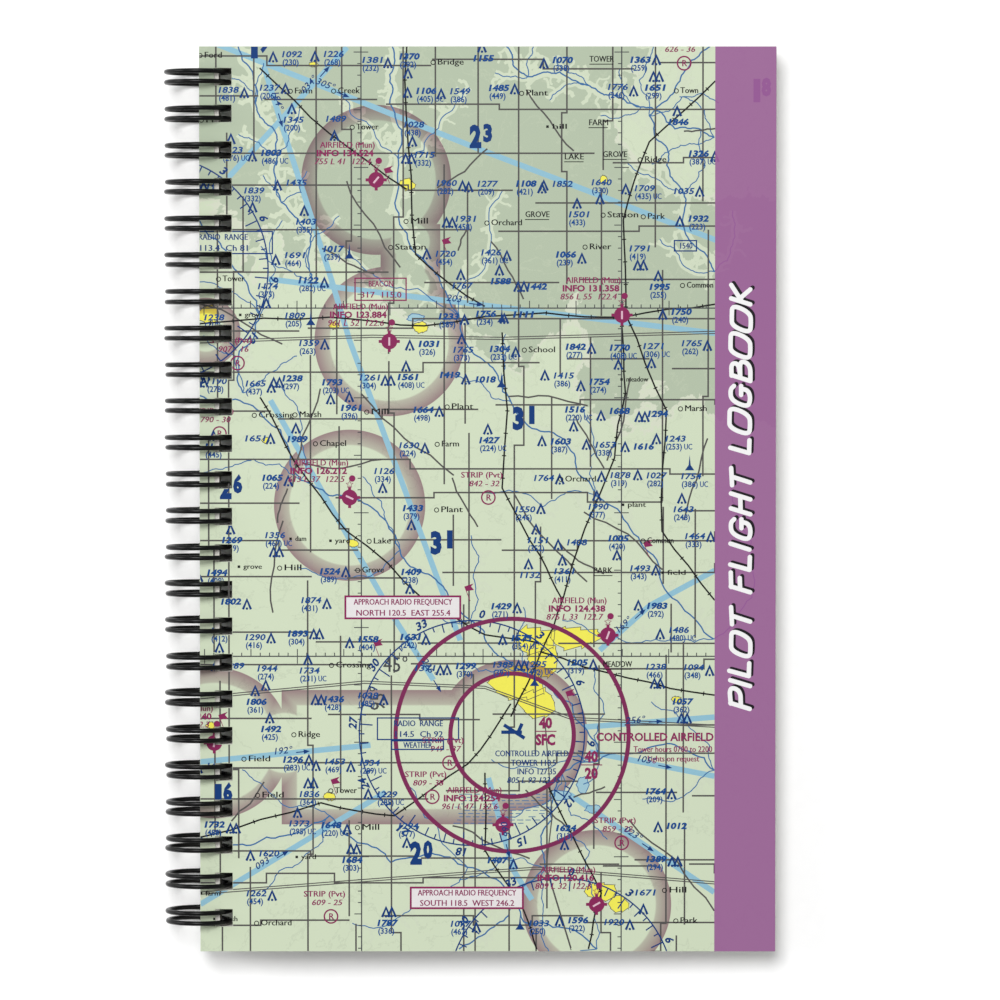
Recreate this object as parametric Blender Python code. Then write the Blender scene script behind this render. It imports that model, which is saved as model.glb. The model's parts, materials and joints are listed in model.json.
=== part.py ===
"""Pilot logbook: a notebook bound with black twin-loop wire, lying closed on its back cover.

Metres, +Z up. +X runs from the wire to the fore-edge and +Y from the tail to the head. The
origin is on the table, under the middle of the book. Every leaf turns about the one line that
is the centre of the wire loops.
"""

import math

import bpy

MM = 0.001
INCH = 25.4 * MM

# Leaves, from the spine edge to the fore-edge and from tail to head.
COVER_WIDTH = 5.25 * INCH
COVER_HEIGHT = 8.25 * INCH
COVER_THICKNESS = 0.45 * MM
SHEET_THICKNESS = 0.11 * MM
SHEET_INSET = 0.6 * MM  # the sheets stop this far inside the covers on three sides
SHEETS_PER_BLOCK = 4
BLOCK_COUNT = 17
LEAF_GAP = 0.03 * MM

# Square punched holes. A hole's margin runs from the spine edge to its near side. The sheets
# are punched further in than the covers, so they show as a pale strip inside the covers' holes.
HOLE_COUNT = 24
HOLE_PITCH = INCH / 3
HOLE_SIZE = 4.0 * MM
COVER_HOLE_MARGIN = 3.5 * MM
SHEET_HOLE_MARGIN = 4.5 * MM
HEAD_MARGIN = 7.0 * MM  # head edge to the first hole's centre

# Twin-loop wire. Angles are in degrees about the loops' centre, 0 towards the fore-edge and
# 90 upwards. Each loop leaves its base under the spine, passes outside the spine, over the
# top and down through the hole, and its tip comes back to the base.
WIRE_RADIUS = 0.55 * MM
LOOP_RADIUS = 7.4 * MM
TWIN_SPACING = 2.4 * MM
BASE_ANGLE = -85.0
TIP_ANGLE = -435.0
BASE_CORNER = 1.2 * MM
LOOP_STEPS = 12
CORNER_STEPS = 2
WIRE_BEVEL_RESOLUTION = 1
SPINE_OFFSET = 0.5 * MM  # loop centre to the leaves' spine edge

# Two covers, two flyleaves, and the blocks of log sheets between them.
BLOCK_THICKNESS = SHEETS_PER_BLOCK * SHEET_THICKNESS
BOOK_THICKNESS = (
    2 * (COVER_THICKNESS + SHEET_THICKNESS)
    + BLOCK_COUNT * BLOCK_THICKNESS
    + (BLOCK_COUNT + 3) * LEAF_GAP
)

# The closed book lies on the loops' undersides and on the back cover's fore-edge.
AXIS_HEIGHT = LOOP_RADIUS + WIRE_RADIUS
FORE_EDGE = SPINE_OFFSET + COVER_WIDTH
TILT = math.asin(AXIS_HEIGHT / math.hypot(BOOK_THICKNESS / 2, FORE_EDGE)) - math.atan2(
    BOOK_THICKNESS / 2, FORE_EDGE
)
LEFT_REACH = LOOP_RADIUS + WIRE_RADIUS
RIGHT_REACH = FORE_EDGE * math.cos(TILT) + BOOK_THICKNESS / 2 * math.sin(TILT)
AXIS_X = (LEFT_REACH - RIGHT_REACH) / 2

# Colours as 0 to 255 display values.
COVER_COLOUR = (205, 216, 192)
BACK_COLOUR = (214, 222, 203)
PAPER_COLOUR = (243, 241, 232)
WIRE_COLOUR = (24, 24, 26)


def clear_scene():
    for obj in list(bpy.data.objects):
        bpy.data.objects.remove(obj, do_unlink=True)


def linear(value):
    """One display value, 0 to 255, as the linear value that a shader takes."""
    share = value / 255
    return share / 12.92 if share <= 0.04045 else ((share + 0.055) / 1.055) ** 2.4


def principled(name, colour, roughness, metallic=0.0):
    material = bpy.data.materials.new(name)
    material.use_nodes = True
    shader = material.node_tree.nodes["Principled BSDF"]
    shader.inputs["Base Color"].default_value = (*[linear(value) for value in colour], 1)
    shader.inputs["Roughness"].default_value = roughness
    shader.inputs["Metallic"].default_value = metallic
    return material


def binding_axis(collection):
    """The empty on the loops' centre line that every piece hangs from."""
    empty = bpy.data.objects.new("binding_axis", None)
    empty.location = (AXIS_X, 0, AXIS_HEIGHT)
    empty.rotation_euler = (0, TILT, 0)
    collection.objects.link(empty)
    return empty


def hole_centres():
    first = COVER_HEIGHT / 2 - HEAD_MARGIN
    return [first - index * HOLE_PITCH for index in range(HOLE_COUNT)]


def add_rectangle(curve, x_low, x_high, y_low, y_high):
    corners = [(x_low, y_low), (x_high, y_low), (x_high, y_high), (x_low, y_high)]
    spline = curve.splines.new("POLY")
    spline.points.add(len(corners) - 1)
    for point, (x, y) in zip(spline.points, corners):
        point.co = (x, y, 0, 1)
    spline.use_cyclic_u = True


def punched_leaf(name, thickness, inset, hole_margin):
    """A flat leaf, thickness included, with its row of holes along the spine edge."""
    curve = bpy.data.curves.new(name, "CURVE")
    curve.dimensions = "2D"
    curve.fill_mode = "BOTH"
    curve.extrude = thickness / 2
    head = COVER_HEIGHT / 2 - inset
    add_rectangle(curve, SPINE_OFFSET, FORE_EDGE - inset, -head, head)
    hole_near = SPINE_OFFSET + hole_margin
    for y in hole_centres():
        half = HOLE_SIZE / 2
        add_rectangle(curve, hole_near, hole_near + HOLE_SIZE, y - half, y + half)
    return bpy.data.objects.new(name, curve)


def half_loop():
    """One ring of a twin loop, base to tip, as (distance from the pair's middle, angle)."""
    half = TWIN_SPACING / 2
    corner_turn = math.degrees(BASE_CORNER / LOOP_RADIUS)
    tip_turn = math.degrees(half / LOOP_RADIUS)
    points = []
    for step in range(CORNER_STEPS + 1):
        turn = math.radians(90 * step / CORNER_STEPS)
        along = half + BASE_CORNER * (1 - math.sin(turn))
        points.append((along, BASE_ANGLE - corner_turn * (1 - math.cos(turn))))
    start, end = BASE_ANGLE - corner_turn, TIP_ANGLE + tip_turn
    for step in range(1, LOOP_STEPS):
        points.append((half, start + (end - start) * step / LOOP_STEPS))
    for step in range(CORNER_STEPS + 1):
        turn = math.radians(90 * step / CORNER_STEPS)
        points.append((half * math.cos(turn), end - tip_turn * math.sin(turn)))
    return points


def wire_path():
    """The whole wire from head to tail: two mirrored rings for each hole."""
    ring = half_loop()
    path = []
    for y in hole_centres():
        path += [(y + along, angle) for along, angle in ring]
        path += [(y - along, angle) for along, angle in reversed(ring[:-1])]
    return path


def twin_loop_wire(name):
    path = wire_path()
    curve = bpy.data.curves.new(name, "CURVE")
    curve.dimensions = "3D"
    curve.bevel_depth = WIRE_RADIUS
    curve.bevel_resolution = WIRE_BEVEL_RESOLUTION
    curve.use_fill_caps = True
    spline = curve.splines.new("POLY")
    spline.points.add(len(path) - 1)
    for point, (y, degrees) in zip(spline.points, path):
        angle = math.radians(degrees)
        point.co = (LOOP_RADIUS * math.cos(angle), y, LOOP_RADIUS * math.sin(angle), 1)
    spline.use_smooth = True
    return bpy.data.objects.new(name, curve)


def leaves():
    """Every leaf from the back cover up: name, thickness, inset, hole margin, colour, roughness."""
    cover = (COVER_THICKNESS, 0.0, COVER_HOLE_MARGIN)
    sheet = (SHEET_THICKNESS, SHEET_INSET, SHEET_HOLE_MARGIN, PAPER_COLOUR, 0.85)
    block = (BLOCK_THICKNESS, SHEET_INSET, SHEET_HOLE_MARGIN, PAPER_COLOUR, 0.85)
    stack = [("back_cover", *cover, BACK_COLOUR, 0.5), ("back_flyleaf", *sheet)]
    for number in range(BLOCK_COUNT, 0, -1):
        stack.append((f"log_sheets_{number:02d}", *block))
    return stack + [("front_flyleaf", *sheet), ("front_cover", *cover, COVER_COLOUR, 0.5)]


def build():
    clear_scene()
    collection = bpy.data.collections.new("pilot_logbook")
    bpy.context.scene.collection.children.link(collection)
    axis = binding_axis(collection)

    level = -BOOK_THICKNESS / 2
    for name, thickness, inset, hole_margin, colour, roughness in leaves():
        leaf = punched_leaf(name, thickness, inset, hole_margin)
        leaf.location = (0, 0, level + thickness / 2)
        leaf.data.materials.append(principled(name, colour, roughness))
        leaf.parent = axis
        collection.objects.link(leaf)
        level += thickness + LEAF_GAP

    wire = twin_loop_wire("twin_loop_wire")
    wire.data.materials.append(principled("twin_loop_wire", WIRE_COLOUR, 0.32, 0.4))
    wire.parent = axis
    collection.objects.link(wire)


build()
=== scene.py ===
"""The looks of the pilot logbook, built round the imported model.

Lengths are in metres unless a name says mm. Everything on the book is modelled in the book's
own frame: the origin on the centre line of the wire loops, x towards the fore-edge, y towards
the head and z out of the front cover. Marks on the cover are placed in page millimetres, x
from the spine edge and y down from the head edge.
"""

import json
import math
import random

import bmesh
import bpy
from mathutils import Matrix, Vector


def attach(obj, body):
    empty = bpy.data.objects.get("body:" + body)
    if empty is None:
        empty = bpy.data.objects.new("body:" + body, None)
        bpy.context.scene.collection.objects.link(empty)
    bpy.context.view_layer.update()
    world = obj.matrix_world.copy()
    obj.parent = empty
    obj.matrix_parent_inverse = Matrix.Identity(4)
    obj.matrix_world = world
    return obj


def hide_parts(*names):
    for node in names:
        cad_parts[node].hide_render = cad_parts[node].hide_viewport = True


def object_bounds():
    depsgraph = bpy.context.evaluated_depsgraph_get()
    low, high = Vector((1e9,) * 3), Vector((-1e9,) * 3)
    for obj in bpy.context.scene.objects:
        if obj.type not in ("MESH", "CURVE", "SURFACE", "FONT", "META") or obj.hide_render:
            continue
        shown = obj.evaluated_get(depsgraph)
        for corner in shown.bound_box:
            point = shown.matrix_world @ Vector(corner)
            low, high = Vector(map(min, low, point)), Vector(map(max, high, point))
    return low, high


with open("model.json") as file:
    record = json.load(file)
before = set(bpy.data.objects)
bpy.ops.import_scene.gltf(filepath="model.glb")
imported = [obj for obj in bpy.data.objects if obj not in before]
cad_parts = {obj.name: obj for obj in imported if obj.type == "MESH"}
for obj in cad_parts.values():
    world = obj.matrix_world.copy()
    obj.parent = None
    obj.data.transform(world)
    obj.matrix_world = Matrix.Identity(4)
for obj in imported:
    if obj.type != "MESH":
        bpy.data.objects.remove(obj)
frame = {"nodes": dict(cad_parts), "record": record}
CAD_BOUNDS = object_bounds()

MM = 0.001
RECORD = frame["record"]


def book_frame():
    """The matrix from the book's own frame to the row frame, from the hinge and the cover's face."""
    hinge = next(j for j in RECORD["behaviour"]["joints"] if j["name"] == "front_cover_open")
    face = next(m for m in RECORD["mounts"] if m["name"] == "front_cover_face")
    tilt = math.atan2(face["axis"][0], face["axis"][2])
    return Matrix.Translation(Vector(hinge["pos_m"])) @ Matrix.Rotation(tilt, 4, "Y")


BOOK = book_frame()


def book_box(node):
    """Lowest and highest corner of a CAD node in the book's own frame."""
    to_book = BOOK.inverted()
    corners = [to_book @ vertex.co for vertex in frame["nodes"][node].data.vertices]
    low = Vector([min(corner[axis] for corner in corners) for axis in range(3)])
    high = Vector([max(corner[axis] for corner in corners) for axis in range(3)])
    return low, high


COVER_LOW, COVER_HIGH = book_box("front_cover")
SPINE_X = COVER_LOW.x
HEAD_Y = COVER_HIGH.y
COVER_TOP = COVER_HIGH.z
PAGE_WIDTH_MM = (COVER_HIGH.x - COVER_LOW.x) / MM
PAGE_HEIGHT_MM = (COVER_HIGH.y - COVER_LOW.y) / MM

# Punching and wire, as in the CAD.
HOLE_COUNT = 24
HOLE_PITCH_MM = 25.4 / 3
HOLE_SIZE_MM = 4.0
COVER_HOLE_MARGIN_MM = 3.5
SHEET_HOLE_MARGIN_MM = 4.5
HEAD_MARGIN_MM = 7.0
WIRE_RADIUS_MM = 0.55
LOOP_RADIUS_MM = 7.4
TWIN_SPACING_MM = 2.4

# The purple band along the fore-edge.
BAND_X_MM = 119.2

# Print colours, as 0 to 255 display values.
LOWLAND = (209, 221, 193)
UPLAND = (180, 193, 169)
FRINGE = (213, 219, 198)
CONTOUR = (192, 203, 178)
VIGNETTE = (150, 126, 127)
BAND = (152, 89, 148)
AIRWAY = (147, 195, 214)
NAVY = (2, 56, 122)
RIVER = (62, 112, 164)
MAGENTA = (140, 36, 90)
TOWN = (247, 240, 90)
ROAD = (86, 84, 82)
BLACK = (16, 16, 18)
BLUE = (6, 72, 142)
WHITE = (250, 250, 250)
VALLEY = (212, 223, 197)
LAKE = (163, 203, 216)
GRID = (70, 72, 76)
RING = (126, 38, 86)
AIRFIELD = (138, 34, 88)
RUNWAY = (226, 190, 204)
NOTE_GROUND = (236, 232, 232)
TITLE_SHADOW = (24, 18, 26)
BACK_GREEN = (196, 207, 182)
BOARD_WHITE = (244, 243, 238)

# How much brighter than a plain white card the table is lit, so that it shows as pure white.
LIGHT_GAIN = 1.315


def linear(value):
    share = value / 255
    return share / 12.92 if share <= 0.04045 else ((share + 0.055) / 1.055) ** 2.4


def rgba(colour):
    """The reflectance that shows as this display colour under the studio light."""
    return (*[linear(value) / LIGHT_GAIN for value in colour], 1.0)


# ------------------------------ materials


class Shader:
    """A Principled material, with short names for the nodes that feed it."""

    def __init__(self, name, roughness=0.5):
        self.material = bpy.data.materials.new(name)
        self.material.use_nodes = True
        self.tree = self.material.node_tree
        self.principled = self.tree.nodes["Principled BSDF"]
        self.principled.inputs["Roughness"].default_value = roughness

    def node(self, kind, *values, **settings):
        """A node with these settings, its first inputs fed with these values."""
        node = self.tree.nodes.new("ShaderNode" + kind)
        for key, value in settings.items():
            setattr(node, key, value)
        for socket, value in zip(node.inputs, values):
            self.feed(value, socket)
        return node

    def feed(self, value, socket):
        if isinstance(value, bpy.types.NodeSocket):
            self.tree.links.new(value, socket)
        else:
            socket.default_value = value

    def set(self, name, value):
        self.feed(value, self.principled.inputs[name])

    def math(self, operation, *values):
        return self.node("Math", *values, operation=operation).outputs[0]

    def less(self, a, b):
        return self.math("SUBTRACT", a, b)

    def times(self, a, b):
        return self.math("MULTIPLY", a, b)

    def apart(self, a, b):
        return self.math("ABSOLUTE", self.less(a, b))

    def least(self, values):
        smallest = values[0]
        for value in values[1:]:
            smallest = self.math("MINIMUM", smallest, value)
        return smallest

    def mix(self, share, low, high):
        node = self.node("Mix", data_type="RGBA")
        self.feed(share, node.inputs[0])
        self.feed(low, node.inputs[6])
        self.feed(high, node.inputs[7])
        return node.outputs[2]

    def rise(self, value, start, end):
        """0 below start and 1 above end, smooth between them. It falls where end is the lower."""
        smooth = "SMOOTHSTEP"
        return self.node("MapRange", value, start, end, interpolation_type=smooth).outputs[0]

    def place(self):
        """The point in the book's own frame, in millimetres."""
        own = self.node("TexCoord").outputs["Object"]
        node = self.node("VectorMath", own, operation="SCALE")
        node.inputs["Scale"].default_value = 1 / MM
        return node.outputs[0]

    def page(self):
        """x from the spine edge and y from the head edge, in millimetres."""
        parts = self.node("SeparateXYZ", self.place())
        x = self.less(parts.outputs[0], SPINE_X / MM)
        y = self.less(HEAD_Y / MM, parts.outputs[1])
        return x, y

    def gap(self, x, y, place):
        """The distance from the page point x, y to a fixed one."""
        point = self.node("CombineXYZ", x, y).outputs[0]
        node = self.node("VectorMath", point, (*place, 0), operation="DISTANCE")
        return node.outputs["Value"]

    def noise(self, size_mm, detail=2.0, roughness=0.5, kind="FBM", **more):
        node = self.node("TexNoise", self.place(), noise_type=kind)
        node.inputs["Scale"].default_value = 1 / size_mm
        node.inputs["Detail"].default_value = detail
        node.inputs["Roughness"].default_value = roughness
        for key, value in more.items():
            node.inputs[key].default_value = value
        return node.outputs[0]

    def bump(self, height, distance_mm, strength=1.0):
        node = self.node("Bump")
        node.inputs["Distance"].default_value = distance_mm * MM
        node.inputs["Strength"].default_value = strength
        self.feed(height, node.inputs["Height"])
        self.set("Normal", node.outputs[0])

    def under_band(self, colour, ghost=0.07):
        """The colour, or on the band the band's purple with a ghost of the colour in it."""
        x, _ = self.page()
        on_band = self.math("GREATER_THAN", x, BAND_X_MM)
        return self.mix(self.times(on_band, 1 - ghost), colour, rgba(BAND))

    def airspace(self, colour):
        """The colour with the airspace shading printed over it, which lets the ground through."""
        shade = shaded_airspace(self, *self.page())
        over_lowland = [linear(v) / linear(g) for v, g in zip(VIGNETTE, LOWLAND)]
        film = self.mix(shade, (1.0, 1.0, 1.0, 1.0), (*over_lowland, 1.0))
        return self.node("VectorMath", colour, film, operation="MULTIPLY").outputs[0]

    def laminate(self):
        """The matt film over the print: a little uneven in gloss, with a very fine grain."""
        patches = self.noise(18.0, detail=3.0)
        gloss = self.math("MULTIPLY_ADD", patches, 0.12, 0.44)
        self.set("Roughness", gloss)
        self.set("Specular IOR Level", 0.12)
        self.bump(self.noise(0.35, detail=3.0, roughness=0.6), 0.012, 0.35)


def printed(name, colour, ghost=0.07, shaded=False):
    """One flat ink under the film, with the slight mottle of a digital print."""
    shader = Shader(name)
    mottle = shader.noise(0.9)
    ink = shader.mix(mottle, rgba(colour), rgba([value * 0.96 for value in colour]))
    if shaded:
        ink = shader.airspace(ink)
    shader.set("Base Color", shader.under_band(ink, ghost))
    shader.laminate()
    return shader.material


# Airspace shading: circles as (x, y, radius) and boxes as (x, y, half width, half height).
SHADED_CIRCLES = (
    (40.9, 30.8, 17.3),
    (43.9, 68.1, 17.3),
    (34.7, 106, 17.5),
    (3.3, 161.1, 17.5),
    (72.3, 159.3, 17.5),
    (91.9, 198.6, 17.3),
    (1.5, 66, 8),
)
SHADED_BOXES = (
    (48.8, 50, 6.9, 9),
    (45.6, 164.4, 26.7, 15.6),
)
# Circles that clear the shading between two shapes that run into each other.
SHADE_JOINS = (
    (19.6, 161.1, 10.5),
    (48.8, 45, 8),
    (48.8, 55, 8),
)
SHADE_DEPTH_MM = 3.8
SHADE_END_MM = 0.5
SHADE_FALL = 0.15  # share of the shading lost with each millimetre inwards


def shaded_airspace(shader, x, y):
    """How strongly the shading shows: full at the airspace edge, under half where it ends."""

    def past_circle(*centre, radius):
        return shader.less(shader.gap(x, y, centre), radius)

    outside = [past_circle(*place, radius=radius) for *place, radius in SHADED_CIRCLES]
    for centre_x, centre_y, half_x, half_y in SHADED_BOXES:
        off_x = shader.apart(x, centre_x)
        off_y = shader.apart(y, centre_y)
        past_x = shader.less(off_x, half_x)
        past_y = shader.less(off_y, half_y)
        outside.append(shader.math("MAXIMUM", past_x, past_y))
    edge = shader.least(outside)
    inside = shader.rise(edge, 0.06, -0.06)
    joins = [past_circle(*place, radius=radius) for *place, radius in SHADE_JOINS]
    open_edge = shader.least([edge] + joins)
    fade = shader.math("MULTIPLY_ADD", open_edge, SHADE_FALL, 1.0)
    ending = shader.rise(open_edge, -SHADE_DEPTH_MM, SHADE_END_MM - SHADE_DEPTH_MM)
    return shader.times(shader.times(fade, ending), inside)


# The relief: where upland ends at the spine and how much lower at each millimetre from there,
# over how far it falls away, how far it may lean either way, and the low corner by the band.
UPLAND_END_MM = 46.0
UPLAND_SLOPE = 0.34
UPLAND_FADE_MM = 34.0
UPLAND_LEAN = (-1.3, 0.75)
LOW_CORNER = (119.0, 9.0)
LOW_CORNER_REACH_MM = (36.0, 4.0)
LOW_CORNER_DIP = 1.5
CONTOUR_COUNT = 2.6  # contour lines for each unit of height
CONTOUR_HALF_WIDTH = 0.035  # as a share of the step between them


def chart_material():
    """The cover's print below the line work: relief tints, contours, airspace shading, band."""
    shader = Shader("chart_print")
    x, y = shader.page()

    # Upland fills the head of the page and reaches lower towards the fore-edge. The corner
    # beside the band lies low again.
    border = shader.math("MULTIPLY_ADD", x, UPLAND_SLOPE, UPLAND_END_MM)
    lean = shader.math("DIVIDE", shader.less(border, y), UPLAND_FADE_MM)
    lean = shader.math("MAXIMUM", shader.math("MINIMUM", lean, UPLAND_LEAN[1]), UPLAND_LEAN[0])
    dip = shader.rise(shader.gap(x, y, LOW_CORNER), *LOW_CORNER_REACH_MM)
    lean = shader.less(lean, shader.times(dip, LOW_CORNER_DIP))
    broad = shader.noise(30.0, detail=7.0, roughness=0.62, Distortion=0.35)
    valleys = shader.noise(14.0, detail=5.0, roughness=0.7, kind="RIDGED_MULTIFRACTAL")
    height = shader.math("MULTIPLY_ADD", shader.less(broad, 0.5), 3.4, lean)
    height = shader.less(height, shader.times(valleys, 0.30))
    fringe = shader.rise(height, -0.10, -0.07)
    upland = shader.rise(height, -0.02, 0.01)
    ground = shader.mix(fringe, rgba(LOWLAND), rgba(FRINGE))
    ground = shader.mix(upland, ground, rgba(UPLAND))

    # Contour lines follow the same height.
    step = shader.math("FRACT", shader.times(height, CONTOUR_COUNT))
    line = shader.math("LESS_THAN", shader.apart(step, 0.5), CONTOUR_HALF_WIDTH)
    ground = shader.mix(shader.times(line, 0.45), ground, rgba(CONTOUR))

    shader.set("Base Color", shader.under_band(shader.airspace(ground)))
    shader.laminate()
    return shader.material


def board_material(name, colour):
    """Plain coated board, for the back cover, the covers' insides and their cut edges."""
    shader = Shader(name)
    tone = shader.noise(2.5, detail=5.0, roughness=0.65)
    darker = rgba([value * 0.95 for value in colour])
    shader.set("Base Color", shader.mix(tone, rgba(colour), darker))
    shader.laminate()
    return shader.material


PAPER = (246, 244, 236)
PAPER_SHADE = (232, 229, 218)
RULING = (150, 168, 186)
RULE_PITCH_MM = 7.0
RULE_TOP_MM = 24.0
COLUMNS_MM = (12.0, 26.0, 46.0, 60.0, 74.0, 88.0, 102.0, 116.0, 127.0)
RULE_WIDTH_MM = 0.16


def paper_material():
    """Uncoated paper with fibres, ruled in log columns inside a frame."""
    shader = Shader("log_paper", roughness=0.9)
    x, y = shader.page()
    fibres = shader.noise(0.8, detail=6.0, roughness=0.7)
    cloud = shader.noise(12.0, detail=3.0)
    paper = shader.mix(shader.times(cloud, fibres), rgba(PAPER), rgba(PAPER_SHADE))

    # Distance to the nearest rule or column line.
    down = shader.less(y, RULE_TOP_MM)
    rule = shader.math("PINGPONG", down, RULE_PITCH_MM / 2)
    columns = [shader.apart(x, at) for at in COLUMNS_MM]
    to_line = shader.math("MINIMUM", rule, shader.least(columns))
    line = shader.math("LESS_THAN", to_line, RULE_WIDTH_MM / 2)
    bottom = RULE_TOP_MM + RULE_PITCH_MM * int((PAGE_HEIGHT_MM - RULE_TOP_MM - 8) / RULE_PITCH_MM)
    reach = RULE_WIDTH_MM / 2
    limits = (
        shader.math("GREATER_THAN", x, COLUMNS_MM[0] - reach),
        shader.math("LESS_THAN", x, COLUMNS_MM[-1] + reach),
        shader.math("GREATER_THAN", down, -RULE_PITCH_MM - reach),
        shader.math("LESS_THAN", y, bottom + reach),
    )
    for limit in limits:
        line = shader.times(line, limit)
    shader.set("Base Color", shader.mix(line, paper, rgba(RULING)))
    shader.set("Specular IOR Level", 0.2)
    shader.bump(fibres, 0.02, 0.5)
    return shader.material


WIRE_BLACK = (5, 5, 6)
WIRE_SCUFF = (15, 15, 16)


def wire_material():
    """Black nylon coating over the wire: satin, with soft scuffs where the leaves rub."""
    shader = Shader("black_wire_coating")
    scuffs = shader.rise(shader.noise(1.6, detail=5.0, roughness=0.7), 0.55, 0.8)
    shader.set("Base Color", shader.mix(scuffs, rgba(WIRE_BLACK), rgba(WIRE_SCUFF)))
    grain = shader.noise(0.25, detail=3.0, roughness=0.6)
    shader.set("Roughness", shader.math("MULTIPLY_ADD", grain, 0.14, 0.22))
    shader.set("Specular IOR Level", 0.2)
    shader.bump(grain, 0.01, 0.4)
    return shader.material


# ------------------------------ leaves


def add_piece(name, mesh, body, materials, nodes=()):
    """One visible piece in the book's frame, riding on a body and standing for CAD nodes."""
    obj = bpy.data.objects.new(name, mesh)
    bpy.context.scene.collection.objects.link(obj)
    obj.matrix_world = BOOK
    for material in materials:
        mesh.materials.append(material)
    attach(obj, body)
    if nodes:
        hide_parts(*nodes)
    return obj


def hole_centres_mm():
    return [HEAD_MARGIN_MM + index * HOLE_PITCH_MM for index in range(HOLE_COUNT)]


def page_point(x_mm, y_mm, z):
    return Vector((SPINE_X + x_mm * MM, HEAD_Y - y_mm * MM, z))


def add_sheet(bm, low, high, z, hole_margin_mm):
    """A flat sheet at height z between two corners, with the row of square holes left open."""
    half = HOLE_SIZE_MM / 2 * MM
    hole_x = SPINE_X + hole_margin_mm * MM
    columns = [low.x, hole_x, hole_x + 2 * half, high.x]
    rows = [low.y]
    for y_mm in reversed(hole_centres_mm()):
        centre = HEAD_Y - y_mm * MM
        rows += [centre - half, centre + half]
    rows.append(high.y)
    grid = [[bm.verts.new((x, y, z)) for x in columns] for y in rows]
    for row in range(len(rows) - 1):
        for column in range(len(columns) - 1):
            if column != 1 or row % 2 == 0:
                low_edge = grid[row][column : column + 2]
                high_edge = grid[row + 1][column : column + 2]
                bm.faces.new(low_edge + high_edge[::-1])


def mesh_from(bm, name):
    mesh = bpy.data.meshes.new(name)
    bm.to_mesh(mesh)
    bm.free()
    return mesh


def thicken(obj, thickness, offset, **settings):
    solidify = obj.modifiers.new("thickness", "SOLIDIFY")
    solidify.thickness = thickness
    solidify.offset = offset
    for key, value in settings.items():
        setattr(solidify, key, value)


def build_cover(node, outer, inner):
    """A board cover: its outer face in one material, the inner face and cut edges in another."""
    low, high = book_box(node)
    faces_up = node == "front_cover"
    bm = bmesh.new()
    add_sheet(bm, low, high, high.z if faces_up else low.z, COVER_HOLE_MARGIN_MM)
    if not faces_up:
        bmesh.ops.reverse_faces(bm, faces=bm.faces)
    cover = add_piece(f"{node}_board", mesh_from(bm, node), node, (outer, inner), (node,))
    thicken(cover, high.z - low.z, -1.0, material_offset=1, material_offset_rim=1)
    bevel = cover.modifiers.new("cut_edge", "BEVEL")
    bevel.width = 0.06 * MM
    bevel.segments = 2
    bevel.limit_method = "ANGLE"


SHEET_MM = 0.10
SHEETS_PER_BLOCK = 4


def build_leaves(paper):
    """Every leaf node as single thin sheets, each cut a hair differently at its three edges."""
    rng = random.Random(11)
    leaves = [n for n in frame["nodes"] if n.startswith("log_sheets") or n.endswith("flyleaf")]
    for node in sorted(leaves):
        low, high = book_box(node)
        count = SHEETS_PER_BLOCK if node.startswith("log_sheets") else 1
        pitch = (high.z - low.z) / count
        bm = bmesh.new()
        for number in range(count):
            trim = [rng.uniform(-0.12, 0.12) * MM for _ in range(3)]
            corner = Vector((low.x, low.y + trim[0], 0))
            far = Vector((high.x + trim[1], high.y + trim[2], 0))
            z = low.z + (number + 0.5) * pitch
            add_sheet(bm, corner, far, z, SHEET_HOLE_MARGIN_MM)
        name = node.replace("log_sheets", "ruled_sheets") + "_paper"
        leaf = add_piece(name, mesh_from(bm, node), node, (paper,), (node,))
        thicken(leaf, SHEET_MM * MM, 0.0)


# ------------------------------ wire

BASE_ANGLE = -85.0
TIP_ANGLE = -435.0
BASE_CORNER_MM = 1.2
RIDE_MM = 0.12  # how far towards the head the loops ride in their holes
LOOP_STEPS = 64
CORNER_STEPS = 8
WIRE_SIDES_RESOLUTION = 4


def ring_path():
    """One ring of a twin loop, base to tip, as (mm from the pair's middle, angle in degrees)."""
    half = TWIN_SPACING_MM / 2
    corner_turn = math.degrees(BASE_CORNER_MM / LOOP_RADIUS_MM)
    tip_turn = math.degrees(half / LOOP_RADIUS_MM)
    start, end = BASE_ANGLE - corner_turn, TIP_ANGLE + tip_turn
    quarter = [math.radians(90 * step / CORNER_STEPS) for step in range(CORNER_STEPS + 1)]
    base = [
        (half + BASE_CORNER_MM * (1 - math.sin(t)), BASE_ANGLE - corner_turn * (1 - math.cos(t)))
        for t in quarter
    ]
    round_ring = [
        (half, start + (end - start) * step / LOOP_STEPS) for step in range(1, LOOP_STEPS)
    ]
    tip = [(half * math.cos(t), end - tip_turn * math.sin(t)) for t in quarter]
    return base + round_ring + tip


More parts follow.
